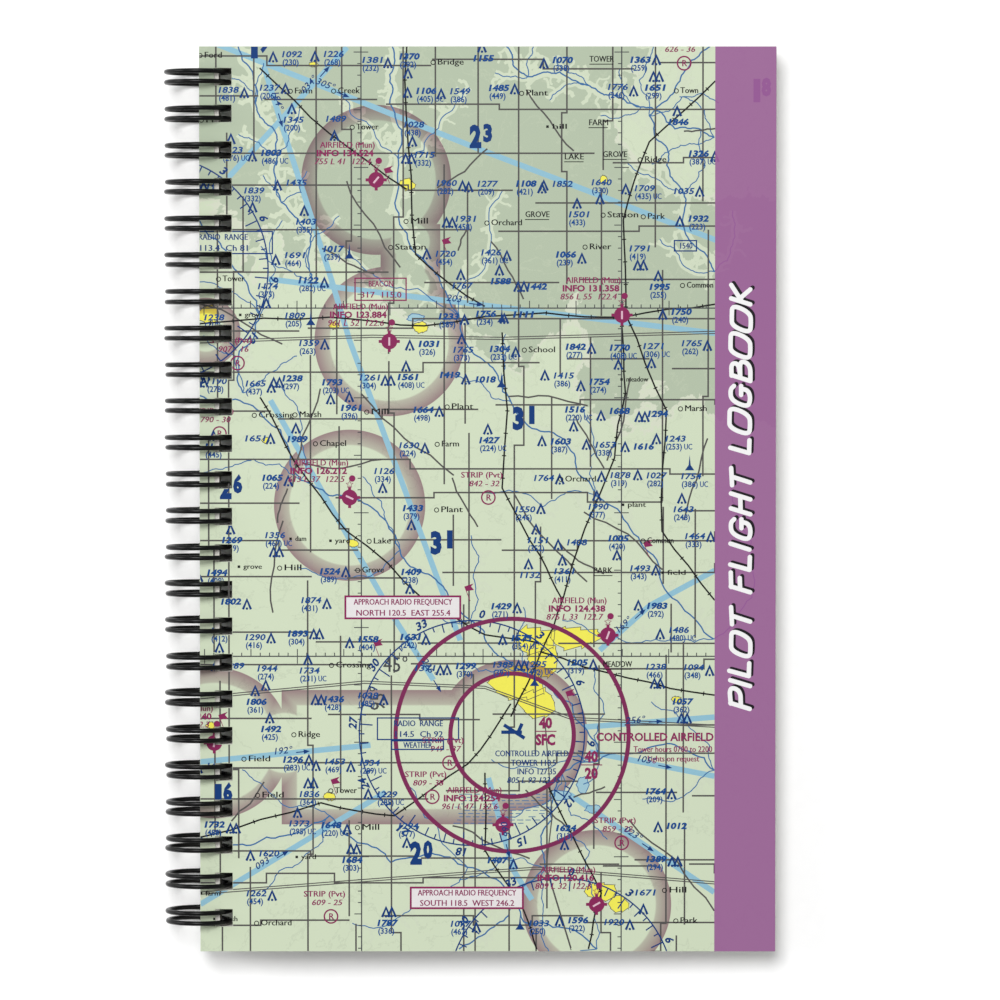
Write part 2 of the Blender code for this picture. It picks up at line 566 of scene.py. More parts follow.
def build_wire(material):
    """The whole wire, with each pair of loops leaning and squeezed slightly differently."""
    rng = random.Random(5)
    ring = ring_path()
    path = []
    for y_mm in hole_centres_mm():
        lean = rng.uniform(-0.034, 0.034)
        for side in (1, -1):
            spread = rng.uniform(-0.10, 0.03)
            size = LOOP_RADIUS_MM + rng.uniform(-0.32, 0.0)
            points = ring if side == 1 else list(reversed(ring[:-1]))
            for along, degrees in points:
                angle = math.radians(degrees)
                outer = (1 - math.cos(angle)) / 2  # 0 on the holes' side and 1 outside the spine
                wander = outer * (side * spread - 2.2 * lean) + 0.12 * lean
                y = HEAD_Y / MM - y_mm + RIDE_MM + side * along + wander
                path.append((size * math.cos(angle), y, size * math.sin(angle)))
    curve = bpy.data.curves.new("twin_loops", "CURVE")
    curve.dimensions = "3D"
    curve.bevel_depth = WIRE_RADIUS_MM * MM
    curve.bevel_resolution = WIRE_SIDES_RESOLUTION
    curve.use_fill_caps = True
    spline = curve.splines.new("POLY")
    spline.points.add(len(path) - 1)
    for point, place in zip(spline.points, path):
        point.co = (*[value * MM for value in place], 1)
    spline.use_smooth = True
    node = "twin_loop_wire"
    add_piece("twin_loops", curve, node, (material,), (node,))


# ------------------------------ printed marks

# Each ink stands one level above the last, and its marks take turns at small lifts above that.
LEVEL_MM = 0.004
LIFT_MM = 0.0005
LIFTS = 7
SINK_MM = 0.01  # how far an ink reaches down into the board
STRIKE_MM = 0.09
EDGE_MARGIN_MM = 0.08
SLANT = 0.22
CHART_WIDTH_MM = BAND_X_MM


def outline(words, weight):
    """Points and faces of a line of words, as the built-in font draws them."""
    curve = bpy.data.curves.new("lettering", "FONT")
    curve.body = words
    curve.resolution_u = 2
    curve.offset = weight
    shape = bpy.data.objects.new("lettering", curve)
    mesh = bpy.data.meshes.new_from_object(shape)
    points = [(vertex.co.x, vertex.co.y) for vertex in mesh.vertices]
    faces = [tuple(face.vertices) for face in mesh.polygons]
    bpy.data.objects.remove(shape)
    bpy.data.curves.remove(curve)
    bpy.data.meshes.remove(mesh)
    return points, faces


FONT_CAP = max(y for _, y in outline("H", 0.0)[0])


class Ink:
    """Marks of one printed colour, kept as flat shapes and closed into very thin prisms."""

    def __init__(self, name, colour, level, ghost=0.07, shaded=False):
        self.name, self.colour, self.level = name, colour, level
        self.ghost, self.shaded = ghost, shaded
        self.bm = bmesh.new()
        self.marks = 0

    def vertex(self, x, y):
        """A corner of the present mark; marks that follow each other never share a height."""
        height = self.level * LEVEL_MM + self.marks % LIFTS * LIFT_MM
        return self.bm.verts.new(page_point(x, y, COVER_TOP + height * MM))

    def polygon(self, points):
        self.marks += 1
        self.bm.faces.new([self.vertex(x, y) for x, y in points])

    def band(self, points, width, closed=False):
        """A strip of even width along a line, with mitred corners."""
        self.marks += 1
        rows = []
        last = len(points) - 1
        for index, point in enumerate(points):
            here = Vector(point)
            ahead = Vector(points[(index + 1) % len(points)]) - here
            behind = here - Vector(points[index - 1])
            if not closed:
                ahead = behind if index == last else ahead
                behind = ahead if index == 0 else behind
            across = (ahead.normalized() + behind.normalized()).orthogonal().normalized()
            square = ahead.normalized().orthogonal()
            side = across * (width / 2) / max(0.6, across.dot(square))
            rows.append([self.vertex(*(here + side)), self.vertex(*(here - side))])
        if closed:
            rows.append(rows[0])
        for (left, right), (next_left, next_right) in zip(rows, rows[1:]):
            self.bm.faces.new((left, right, next_right, next_left))

    def disc(self, x, y, radius, sides=20):
        self.polygon(circle(x, y, radius, sides))

    def ring(self, x, y, radius, width, sides=28):
        self.band(circle(x, y, radius, sides), width, closed=True)

    def frame(self, low, high, width):
        corners = [low, (high[0], low[1]), high, (low[0], high[1])]
        self.band(corners, width, closed=True)

    def box(self, low, high):
        self.polygon([low, (high[0], low[1]), high, (low[0], high[1])])

    def text(self, words, x, y, cap, length, weight=0.0, slant=0.0, turn=0.0):
        """Words along a baseline from (x, y), to a given length; turn is anticlockwise.

        Letters of no extra weight are struck twice, a hair apart, to thicken their stems.
        """
        points, faces = outline(words, weight)
        points = [(u / FONT_CAP, v / FONT_CAP) for u, v in points]
        stretch = length / (max(u for u, _ in points) * cap)
        cos, sin = math.cos(math.radians(turn)), math.sin(math.radians(turn))
        for start in (x, x + STRIKE_MM) if weight == 0.0 else (x,):
            self.marks += 1
            placed = []
            for u, v in points:
                run, rise = (u * stretch + slant * v) * cap, v * cap
                placed.append(self.vertex(start + run * cos - rise * sin, y - run * sin - rise * cos))
            for face in faces:
                self.bm.faces.new([placed[corner] for corner in face])

    def split(self, faces, place, normal, clear=False):
        """Cut the faces by a plane, and clear what lies past it where that is asked for."""
        parts = dict.fromkeys(faces)
        for face in faces:
            parts.update(dict.fromkeys((*face.verts, *face.edges)))
        plane = {"plane_co": place, "plane_no": normal, "clear_outer": clear}
        bmesh.ops.bisect_plane(self.bm, geom=list(parts), dist=1e-7, **plane)

    def near(self, axis, low, high):
        """The faces that reach into the slab from low to high."""
        found = []
        for face in self.bm.faces:
            reach = [vertex.co[axis] for vertex in face.verts]
            if min(reach) < high and max(reach) > low:
                found.append(face)
        return found

    def trim(self):
        """Cut away what lies past the cover's edges or over a punched hole."""
        edge = EDGE_MARGIN_MM * MM
        for corner, way in ((COVER_LOW, -1), (COVER_HIGH, 1)):
            for axis in (0, 1):
                normal = Vector((0, 0, 0))
                normal[axis] = way
                place = corner - normal * edge
                self.split(list(self.bm.faces), place, normal, clear=True)
        half = HOLE_SIZE_MM / 2 * MM + edge
        hole_x = SPINE_X + (COVER_HOLE_MARGIN_MM + HOLE_SIZE_MM / 2) * MM
        for x in (hole_x - half, hole_x + half):
            self.split(self.near(0, hole_x - half, hole_x + half), (x, 0, 0), (1, 0, 0))
        for y_mm in hole_centres_mm():
            y = HEAD_Y - y_mm * MM
            for at in (y - half, y + half):
                column = self.near(0, hole_x - half, hole_x + half)
                row = [f for f in column if abs(f.calc_center_bounds().y - y) < 4 * half]
                self.split(row, (0, at, 0), (0, 1, 0))
            column = self.near(0, hole_x - half, hole_x + half)
            inside = [
                face
                for face in column
                if abs(face.calc_center_bounds().x - hole_x) < half
                and abs(face.calc_center_bounds().y - y) < half
            ]
            bmesh.ops.delete(self.bm, geom=inside, context="FACES")

    def build(self):
        """Finish the layer as a piece on the front cover."""
        self.trim()
        self.bm.normal_update()
        down = [face for face in self.bm.faces if face.normal.z < 0]
        bmesh.ops.reverse_faces(self.bm, faces=down)
        material = printed(f"ink_{self.name}", self.colour, self.ghost, self.shaded)
        mesh = mesh_from(self.bm, self.name)
        layer = add_piece(f"print_{self.name}", mesh, "front_cover", (material,))
        thicken(layer, (self.level * LEVEL_MM + SINK_MM) * MM, -1.0)
        # Ink lies in the paper, so it throws no shadow on itself where marks cross.
        layer.visible_shadow = False
        layer.visible_diffuse = False
        layer.visible_glossy = False


def circle(x, y, radius, sides):
    turns = [2 * math.pi * step / sides for step in range(sides)]
    return [(x + radius * math.cos(t), y + radius * math.sin(t)) for t in turns]


def wander(rng, points, stray, rounds):
    """The line with points added between its own, each pushed aside by a share of the gap."""
    for _ in range(rounds):
        stray *= 0.86
        finer = [points[0]]
        for start, end in zip(points, points[1:]):
            side = rng.uniform(-stray, stray)
            run, rise = end[0] - start[0], end[1] - start[1]
            middle = ((start[0] + end[0]) / 2 - side * rise, (start[1] + end[1]) / 2 + side * run)
            finer += [middle, end]
        points = finer
    return points


def along(points, pitch):
    """Points every pitch along a line, each with the direction of the line there."""
    found = []
    carry = pitch / 2
    for start, end in zip(points, points[1:]):
        step = Vector(end) - Vector(start)
        while carry < step.length:
            found.append((Vector(start) + step.normalized() * carry, step.normalized()))
            carry += pitch
        carry -= step.length
    return found


# ------------------------------ the chart

AIRWAY_WIDTH_MM = 1.3
AIRWAYS = (
    ((1.4, -1.6), (64.9, 23.8), (119.4, 44.7)),
    ((15, 4.6), (20.1, 21.3), (30.5, 53.7), (34.7, 67.8), (60.3, 137.3)),
    ((34.2, 0.2), (6.7, 30.3)),
    ((16, 53.7), (119.2, 66.2)),
    ((89.2, 157.4), (119.2, 155.1)),
    ((90.3, 163.2), (119.2, 168.8)),
    ((85.7, 173.1), (119.2, 195.8)),
    ((66.8, 169.2), (72.5, 190.5), (76.9, 197.5)),
    ((0, 165.5), (39.5, 161.6)),
    ((0, 198.6), (43, 172.5)),
    ((54.1, 146.5), (45.3, 132.6), (16.4, 81.7)),
    ((92.6, 139.6), (104.2, 129.2), (119.2, 121.1)),
)
RIVERS = (
    ((0, 80.6), (23.3, 100.2), (46.4, 116.4), (62.6, 132.6), (74.2, 144.2), (92.6, 165)),
    ((92.6, 165), (119.2, 167.4)),
    ((44.6, 0), (46, 26), (60, 62), (72, 82), (92, 104), (119, 137)),
    ((118, 0), (104, 16), (112, 34), (119, 52)),
    ((0, 40), (14, 62), (10, 80)),
    ((0, 183), (30, 178), (62, 190), (92, 209)),
    ((60, 209), (80, 190), (84, 168), (92.6, 165)),
    ((71, 0), (76, 7), (90, 9), (102, 14), (119, 21)),
    ((9, 0), (13, 13), (18, 25), (19, 36), (26, 54)),
)
RAILWAYS = (
    ((0, 64), (30, 62.5), (52, 64.5), (80, 61.5), (98, 62.5), (119.2, 59.5)),
    ((97.5, 62), (98.5, 80), (96, 95), (84, 128), (79, 140), (72, 155)),
    ((0, 183), (28, 175), (45, 178), (62, 166), (72, 152)),
    ((34, 112), (52, 128), (66, 136), (79, 138)),
    ((14, 81), (22, 96), (34, 112)),
    ((48, 0), (49, 30), (50, 48), (66, 60)),
    ((79, 140), (99, 146), (119.2, 150)),
    ((80, 170), (86, 182), (93, 196), (90, 209)),
    ((14, 5), (30, 20), (48, 33)),
    ((66, 168), (66, 186), (75, 200), (78, 209)),
    ((70, 66), (70, 102), (79, 118), (84, 128)),
    ((98.6, 62), (108, 84), (107, 112), (119.2, 128)),
    ((119.2, 8), (104, 22), (98, 40), (98.6, 62)),
)
# Built-up areas as (x, y, half width, half height).
TOWN_CORNERS = 10
TOWNS = (
    (77.5, 137.2, 5.4, 3.6),
    (86.5, 136.6, 6.6, 3),
    (79.4, 141.6, 3.4, 4.6),
    (73.6, 147, 7.4, 4.6),
    (78.5, 151.8, 4.6, 3.6),
    (48.1, 31.9, 1.9, 1.7),
    (51.1, 64.8, 1.7, 1.5),
    (30, 173.6, 1.5, 1.3),
    (92.5, 195.6, 4.2, 2.4),
    (97, 198.4, 2.6, 2.2),
    (2.1, 61.8, 3, 2.3),
    (93.5, 30.8, 0.9, 1.2),
    (26.4, 4.2, 1.1, 0.7),
    (35.4, 114.8, 1.4, 1.1),
    (15.3, 91, 1, 0.9),
    (31.2, 64.4, 1.2, 1.1),
    (2.6, 157, 1.3, 1),
    (98.6, 62.2, 1.2, 0.7),
    (110.5, 151, 1.2, 0.8),
)
# Paved airfields as (x, y, runway heading in degrees).
AIRFIELDS = (
    (40.9, 30.8, 40),
    (43.9, 68.1, 0),
    (34.7, 104.2, 115),
    (97.7, 62, 0),
    (3.3, 161.1, 10),
    (70.2, 180.1, 90),
    (94.5, 136.1, 20),
    (91.9, 198.6, 60),
)
PRIVATE_STRIPS = (
    (66.8, 104.2),
    (8.8, 73.1),
    (57.8, 165.7),
    (53.8, 173.6),
    (97.7, 184.3),
    (30.3, 201.4),
    (4.6, 89.4),
    (112, 3.9),
)
# The feet of the small flags that mark places seen well from the air.
FLAGS = (
    (41.5, 141),
    (5.6, 158),
    (31.6, 173),
    (62.6, 128.2),
    (44, 31.6),
    (57.4, 48),
    (86, 152.6),
    (104, 118),
)
# The flag's cloth, as millimetres right of its foot and up from it.
FLAG_CLOTH = ((-1.3, 3.4), (0.8, 4.1), (0.2, 3.4), (0.9, 2.6), (-0.9, 2.3))
# Sector heights as (x, y of the baseline, large digit, raised digit).
SECTORS = (
    (11, 2.4, "1", "9"),
    (62.6, 23.1, "2", "3"),
    (72.4, 88.2, "3", "1"),
    (53.4, 117, "3", "1"),
    (4.8, 104.2, "2", "6"),
    (2.4, 175.6, "1", "6"),
    (48.8, 189, "2", "0"),
    (127, 12.5, "1", "8"),
)
# The controlled airfield: its centre, its two rings and its runways.
CORE = (72.3, 159.3)
CORE_RADII_MM = (14.3, 27.0)
CORE_RUNWAYS = (
    ((70.4, 156.9), (75.2, 160.0)),
    ((69.8, 158.6), (74.6, 158.6)),
    ((73.8, 158.4), (74.6, 156.6)),
)
ROSES = ((63.0, 158.8), (-10.2, 51.4), (83.7, 218.6))
ROSE_RADIUS_MM = 26.1
ROSE_NORTH = 4.6  # degrees clockwise from the head of the page
ROSE_TICKS_MM = (3.0, 2.0, 1.2)  # every thirty degrees, every ten and every five


def build_airways():
    ink = Ink("airways", AIRWAY, 3)
    for line in AIRWAYS:
        ink.band(line, AIRWAY_WIDTH_MM)
    return ink


def build_towns():
    """Yellow built-up areas with stepped block outlines, edged in grey."""
    rng = random.Random(21)
    ink = Ink("towns", TOWN, 4, shaded=True)
    edges = Ink("town_edges", ROAD, 5)
    for x, y, half_x, half_y in TOWNS:
        blocks = []
        for cos, sin in circle(0, 0, 1, TOWN_CORNERS):
            reach = rng.uniform(0.78, 1.12)
            right, down = half_x * reach * cos, half_y * reach * sin
            blocks.append((x + right, y + down))
            blocks.append((x + right * 0.96, y + down * rng.uniform(0.7, 0.95)))
        ink.polygon(blocks)
        edges.band(blocks, 0.16, closed=True)
    return [ink, edges]


RIVER_WIDTH_MM = 0.34
STREAM_WIDTH_MM = 0.24
VALLEY_SPREAD = 6.5  # width of a valley floor as a multiple of its stream's
GULLY_PITCH_MM = 1.7


def river_courses():
    """The rivers with their bends, each with a few side streams joining it."""
    rng = random.Random(31)
    courses = []
    for line in RIVERS:
        courses.append((wander(rng, line, 0.22, 5), RIVER_WIDTH_MM))
        for start, end in zip(line, line[1:]):
            for side in (-1, 1):
                reach = side * rng.uniform(0.3, 0.7)
                run, rise = end[0] - start[0], end[1] - start[1]
                spring = (start[0] + run * 0.4 - reach * rise, start[1] + rise * 0.4 + reach * run)
                courses.append((wander(rng, (spring, end), 0.26, 5), STREAM_WIDTH_MM))
    return courses


# Lakes as (x, y, half width, half height).
LAKE_CORNERS = 16
LAKES = (
    (83.5, 173.2, 3.2, 1.3),
    (88.6, 170.8, 1.5, 2.2),
    (91, 176.4, 2, 1),
    (50, 62.6, 2.2, 0.9),
)
MARSH = ((58.0, 173.0), (83.0, 181.0))
MARSH_PITCH_MM = 0.75


def build_water():
    """Pale valley floors with gullies up their sides, streams, lakes and a marsh."""
    rng = random.Random(33)
    valleys = Ink("valley_floors", VALLEY, 1, shaded=True)
    streams = Ink("streams", RIVER, 5)
    lakes = Ink("lakes", LAKE, 2)
    for course, width in river_courses():
        streams.band(course, width)
        valleys.band(course, width * VALLEY_SPREAD)
        for place, direction in along(course, GULLY_PITCH_MM):
            side = direction.orthogonal() * rng.choice((-1, 1)) * rng.uniform(1.2, 4.6)
            tip = place + side + direction * rng.uniform(-1.6, 1.6)
            valleys.band(wander(rng, (place, tip), 0.4, 3), rng.uniform(0.4, 1.0))
    for x, y, half_x, half_y in LAKES:
        shore = []
        for cos, sin in circle(0, 0, 1, LAKE_CORNERS):
            reach = rng.uniform(0.7, 1.1)
            shore.append((x + half_x * reach * cos, y + half_y * reach * sin))
        lakes.polygon(shore)
        streams.band(shore, 0.18, closed=True)
    (left, top), (right, bottom) = MARSH
    for row in range(int((bottom - top) / MARSH_PITCH_MM)):
        x = left + rng.uniform(0.0, 3.0)
        while x < right - 2.5:
            dash = rng.uniform(0.8, 1.7)
            y = top + row * MARSH_PITCH_MM
            if rng.random() < 0.8:
                streams.band(((x, y), (x + dash, y)), 0.18)
            x += dash + 0.5
    return [valleys, lakes, streams]


ROAD_WIDTH_MM = 0.38
UPRIGHT_ROADS = 12
UPRIGHT_PITCH_MM = 10.2
LEVEL_ROADS = 21
LEVEL_PITCH_MM = 10.1
ROAD_STRAY_MM = 2.5
WINDING_ROADS = 26
WINDING_REACH_MM = 24
HIGHWAY_HALF_GAP_MM = 0.26
HIGHWAYS = (
    ((0, 68.2), (40, 66.9), (70, 67.4), (119.2, 66)),
    ((0, 150.6), (38, 147), (66, 148.2), (86, 155.4), (119.2, 157.2)),
    ((0, 196), (44, 192.6), (78, 190.2), (119.2, 193.6)),
    ((80, 157), (81.6, 178), (80.2, 190), (86, 209)),
)


def build_roads():
    """A net of section roads along and across the page, with a few winding ones and highways."""
    rng = random.Random(41)
    ink = Ink("roads", ROAD, 6)
    for column in range(UPRIGHT_ROADS):
        x = 4.5 + UPRIGHT_PITCH_MM * column + rng.uniform(-ROAD_STRAY_MM, ROAD_STRAY_MM)
        draw_section_road(ink, rng, x, PAGE_HEIGHT_MM, upright=True)
    for row in range(LEVEL_ROADS):
        y = 3.0 + LEVEL_PITCH_MM * row + rng.uniform(-ROAD_STRAY_MM, ROAD_STRAY_MM)
        draw_section_road(ink, rng, y, CHART_WIDTH_MM, upright=False)
    reach = WINDING_REACH_MM
    for _ in range(WINDING_ROADS):
        start = (rng.uniform(4, 114), rng.uniform(6, 204))
        end = (start[0] + rng.uniform(-reach, reach), start[1] + rng.uniform(-reach, reach))
        end = (min(max(end[0], 0.0), CHART_WIDTH_MM), end[1])
        ink.band(wander(rng, (start, end), 0.10, 3), ROAD_WIDTH_MM)
    for line in HIGHWAYS:
        for shift in (-HIGHWAY_HALF_GAP_MM, HIGHWAY_HALF_GAP_MM):
            ink.band([(x, y + shift) for x, y in line], 0.24)
    return ink


def draw_section_road(ink, rng, across, length, upright):
    """A straight road the length of the page that jogs aside now and then, or stops a while."""

    def place(at, across):
        return (across, at) if upright else (at, across)

    at = 0.0
    line = [place(at, across)]
    while at < length:
        at = min(at + rng.uniform(11.0, 27.0), length)
        line.append(place(at, across))
        if rng.random() < 0.34:
            ink.band(line, ROAD_WIDTH_MM)
            across += rng.uniform(-3.0, 3.0)
            at += rng.uniform(0.0, 9.0)
            line = [place(at, across)]
        elif rng.random() < 0.4:
            across += rng.choice((-2.2, -1.2, 1.2, 2.2))
            line.append(place(at, across))
    if len(line) > 1:
        ink.band(line, ROAD_WIDTH_MM)


def build_railways():
    rng = random.Random(51)
    ink = Ink("railways", BLACK, 7)
    for line in RAILWAYS:
        track = wander(rng, line, 0.04, 2)
        ink.band(track, 0.38)
        for place, direction in along(track, 5.2):
            side = direction.orthogonal() * 0.5
            ink.band((place - side, place + side), 0.26)
    return ink


GRATICULE_ROWS_MM = (60.4, 141.0)
GRATICULE_COLUMNS_MM = (37.4, 97.6)


def build_graticule():
    """The grid lines of latitude and longitude, ticked on one side every minute."""
    ink = Ink("graticule", GRID, 8)
    rows = [((0.0, y), (CHART_WIDTH_MM, y)) for y in GRATICULE_ROWS_MM]
    columns = [((x, 0.0), (x, PAGE_HEIGHT_MM)) for x in GRATICULE_COLUMNS_MM]
    for lines, pitch, side in ((rows, 2.15, Vector((0, -1))), (columns, 2.66, Vector((-1, 0)))):
        for line in lines:
            ink.band(line, 0.28)
            for index, (place, _) in enumerate(along(line, pitch)):
                reach = 1.7 if index % 5 == 0 else 0.85
                back = side * (1.7 if index % 10 == 0 else 0.0)
                ink.band((place - back, place + side * reach), 0.22)
    ink.text("45°", 42.4, 144.6, 3.4, 5.6)
    ink.text("95°", 42.8, 153.6, 3.4, 5.6, turn=90.0)
    return ink


def build_roses():
    """Blue compass roses, ticked inwards every five degrees and numbered every thirty."""
    ink = Ink("compass_roses", NAVY, 9)
    for x, y in ROSES:
        centre = Vector((x, y))
        ink.ring(x, y, ROSE_RADIUS_MM, 0.32, sides=144)
        for step in range(72):
            turn = math.radians(step * 5 - 90 + ROSE_NORTH)
            thirty, ten, five = ROSE_TICKS_MM
            reach = thirty if step % 6 == 0 else (ten if step % 2 == 0 else five)
            way = Vector((math.cos(turn), math.sin(turn)))
            outer = centre + way * ROSE_RADIUS_MM
            ink.band((outer, outer - way * reach), 0.3)
            if step % 6 == 0:
                label = str(step // 2)
                length = 1.35 * len(label)
                start = centre + way * (ROSE_RADIUS_MM + 0.7) - Vector((-way.y, way.x)) * length / 2
                turn = math.degrees(math.atan2(-way.x, -way.y))
                ink.text(label, *start, 1.75, length, weight=0.035, slant=SLANT, turn=turn)
    return ink


def build_rings():
    ink = Ink("airspace_rings", RING, 10)
    for radius in CORE_RADII_MM:
        ink.ring(*CORE, radius, 1.0, sides=120)
    return ink


DISC_MM = 1.85


def star(x, y, radius):
    """The outline of a five-pointed star."""
    points = []
    for step in range(10):
        turn = math.pi * step / 5 - math.pi / 2
        reach = radius if step % 2 == 0 else radius * 0.42
        points.append((x + reach * math.cos(turn), y + reach * math.sin(turn)))
    return points


def build_airfields():
    """Magenta discs with their four nubs, beacon star and runway, and ringed private strips."""
    ink = Ink("airfields", AIRFIELD, 11)
    runways = Ink("runways", RUNWAY, 12)
    for x, y, heading in AIRFIELDS:
        ink.disc(x, y, DISC_MM)
        for step in range(4):
            turn = math.radians(90 * step)
            way = Vector((math.cos(turn), math.sin(turn)))
            start = Vector((x, y)) + way * DISC_MM * 0.9
            ink.band((start, Vector((x, y)) + way * (DISC_MM + 0.6)), 0.7)
        ink.band(star(x, y - DISC_MM - 1.2, 0.85), 0.14, closed=True)
        turn = math.radians(heading)
        way = Vector((math.sin(turn), -math.cos(turn))) * 0.95
        runways.band(((x - way.x, y - way.y), (x + way.x, y + way.y)), 0.42)
    for x, y in PRIVATE_STRIPS:
        ink.ring(x, y, 1.55, 0.34)
        ink.text("R", x - 0.6, y + 0.72, 1.45, 1.25)
    for x, y in FLAGS:
        ink.band(((x, y), (x - 1.3, y - 3.4)), 0.16)
        ink.polygon([(x + right, y - up) for right, up in FLAG_CLOTH])
    return [ink, runways]


# Words for invented places and fields.
PLACES = """
Town Mill Ford Grove Lake Ridge Hill Park Station Bridge Farm Field Wood School Tower
Plant Yard Quarry Dam Marsh River Creek Orchard Chapel Common Meadow Crossing
""".split()
# The scattered labels: a loose grid of cells, and the shares of them that hold a height or a place.
CELL_ROWS = 28
CELL_COLUMNS = 13
CELL_WIDTH_MM = 8.9
CELL_HEIGHT_MM = 7.4
HEIGHT_SHARE = 0.60
PLACE_SHARE = 0.26


def clear_of(x, y, taken):
    """Whether a label starting at (x, y) stays off the boxes already taken."""
    return not any(left < x < right and top < y < bottom for left, top, right, bottom in taken)


# Room kept clear round a mark, as (left, up, right, down), and boxes kept clear on the page.
SECTOR_ROOM = (8.0, 7.0, 7.0, 4.0)
AIRFIELD_ROOM = (20.0, 11.0, 5.0, 3.0)
STRIP_ROOM = (12.0, 7.5, 5.0, 3.0)
NOTE_ROOM = (7.0, 4.0, 2.0, 4.0)
CLEAR_BOXES = [(60.0, 150.0, 92.0, 174.0), (84.0, 156.0, 120.0, 167.0), (36.5, 139.0, 48.5, 157.0)]


def taken_boxes():
    """Boxes as (left, top, right, bottom) that the scattered labels keep off."""
    marks = [((x, y), (x, y), SECTOR_ROOM) for x, y, *_ in SECTORS]
    marks += [((x, y), (x, y), AIRFIELD_ROOM) for x, y, _ in AIRFIELDS]
    marks += [(place, place, STRIP_ROOM) for place in PRIVATE_STRIPS]
    marks += [(low, high, NOTE_ROOM) for low, high, *_ in NOTE_BOXES]
    return CLEAR_BOXES + [
        (low[0] - left, low[1] - up, high[0] + right, high[1] + down)
        for low, high, (left, up, right, down) in marks
    ]


# Framed notes as (low corner, high corner, ink, ground shown, lines of text).
RADIO = "APPROACH RADIO FREQUENCY"
NOTE_BOXES = (
    ((33.7, 127.1), (60.3, 132.2), "magenta", True, (RADIO, "NORTH 120.5  EAST 255.4")),
    ((48.8, 194.7), (74.8, 199.5), "magenta", True, (RADIO, "SOUTH 118.5  WEST 246.2")),
    ((36, 53.5), (47.8, 58.6), "magenta", False, ("BEACON", "317  115.0")),
    ((41.1, 155.3), (59.9, 160.3), "blue", False, ("RADIO  RANGE", "114.5  Ch 92")),
    ((44.4, 160.6), (56.4, 162.6), "blue", False, ("WEATHER",)),
    ((-6, 42.7), (16.9, 47.8), "blue", False, ("RADIO  RANGE", "113.4  Ch 81")),
    ((109.8, 44.8), (114.9, 47.2), "blue", False, ("1540",)),
)


def draw_obstacle(ink, x, y, kind):
    """A mast mark with its foot dot: a single peak, a pair, or a tall spire with flared feet."""
    if kind == "tall":
        spire = ((-1.1, 0.0), (-0.25, 1.2), (0.0, 3.6), (0.25, 1.2), (1.1, 0.0))
        ink.polygon([(x + right, y - up) for right, up in spire])
        return
    for shift in (0.0, 1.35) if kind == "pair" else (0.0,):
        peak = x + shift
        ink.band(((peak - 0.92, y), (peak, y - 2.2), (peak + 0.92, y)), 0.56)
        ink.disc(peak, y - 0.18, 0.30, sides=8)


def draw_height(heights, obstacles, rng, x, y):
    """A spot height, mostly over its bracketed height above ground, beside an obstacle mark."""
    bold = rng.choice((0.030, 0.050))
    heights.text(str(rng.randrange(1000, 1999)), x, y, 1.32, 5.0, weight=bold, slant=SLANT)
    if rng.random() < 0.85:
        heights.text(f"({rng.randrange(200, 499)})", x + 0.5, y + 1.85, 1.3, 3.8, weight=0.026)
        if rng.random() < 0.2:
            heights.text("UC", x + 4.7, y + 1.85, 1.3, 1.9)
    kind = rng.choices(("single", "pair", "tall"), (0.78, 0.16, 0.06))[0]
    shift = rng.choice((-1.6, 6.4, 2.4))
    drop = rng.uniform(0.4, 1.6) if shift != 2.4 else rng.choice((-2.0, 4.4))
    draw_obstacle(obstacles, x + shift, y + drop, kind)


def draw_place(places, rng, x, y):
    """A landmark's name by a small square, a larger town's underlined, or a town's by its circle."""
    name = rng.choice(PLACES)
    kind = rng.random()
    if kind < 0.25:
        places.text(name.lower(), x, y, 1.15, 0.85 * len(name))
        places.box((x - 1.3, y - 0.8), (x - 0.7, y - 0.2))
    elif kind < 0.40:
        places.text(name.upper(), x, y, 1.35, 1.12 * len(name))
        places.band(((x, y + 0.55), (x + 1.12 * len(name), y + 0.55)), 0.2)
    else:
        places.text(name, x, y, 1.35, 1.02 * len(name))
        places.ring(x - 0.9, y - 0.5, 0.5, 0.2, sides=12)


def build_labels():
    """The scattered heights, obstacle marks and place labels, one to a cell of a loose grid."""
    rng = random.Random(7)
    heights = Ink("heights", BLUE, 13)
    obstacles = Ink("obstacles", NAVY, 14)
    places = Ink("places", BLACK, 15)
    taken = taken_boxes()
    for row in range(CELL_ROWS):
        for column in range(CELL_COLUMNS):
            x = 1.5 + column * CELL_WIDTH_MM + (row % 2) * 3.4 + rng.uniform(-1.0, 1.0)
            y = 3.4 + row * CELL_HEIGHT_MM + rng.uniform(-1.1, 1.1)
            kind = rng.random()
            if x > PAGE_WIDTH_MM - 7 or not clear_of(x, y, taken):
                continue
            if kind < HEIGHT_SHARE:
                draw_height(heights, obstacles, rng, x, y)
            elif kind < HEIGHT_SHARE + PLACE_SHARE:
                draw_place(places, rng, x, y)
    return [heights, obstacles, places]


def draw_courses(ink):
    """A course figure and an arrow along each airway."""
    rng = random.Random(61)
    for line in AIRWAYS:
        start, end = Vector(line[0]), Vector(line[1])
        way = (end - start).normalized()
        if way.x < 0:
            way = -way
        spot = start + (end - start) * rng.uniform(0.3, 0.5)
        turn = math.degrees(math.atan2(-way.y, way.x))
        course = f"{rng.randrange(20, 350):03d}°"
        ink.text(course, *spot, 1.5, 4.4, weight=0.01, slant=SLANT, turn=turn)
        tail = spot + way * 5.4
        tip = tail + way * 3.0
        barb = tip - way * 1.2
        across = way.orthogonal() * 0.55
        ink.band((tail, tip), 0.24)
        ink.polygon([barb - across, tip + way * 0.3, barb + across])


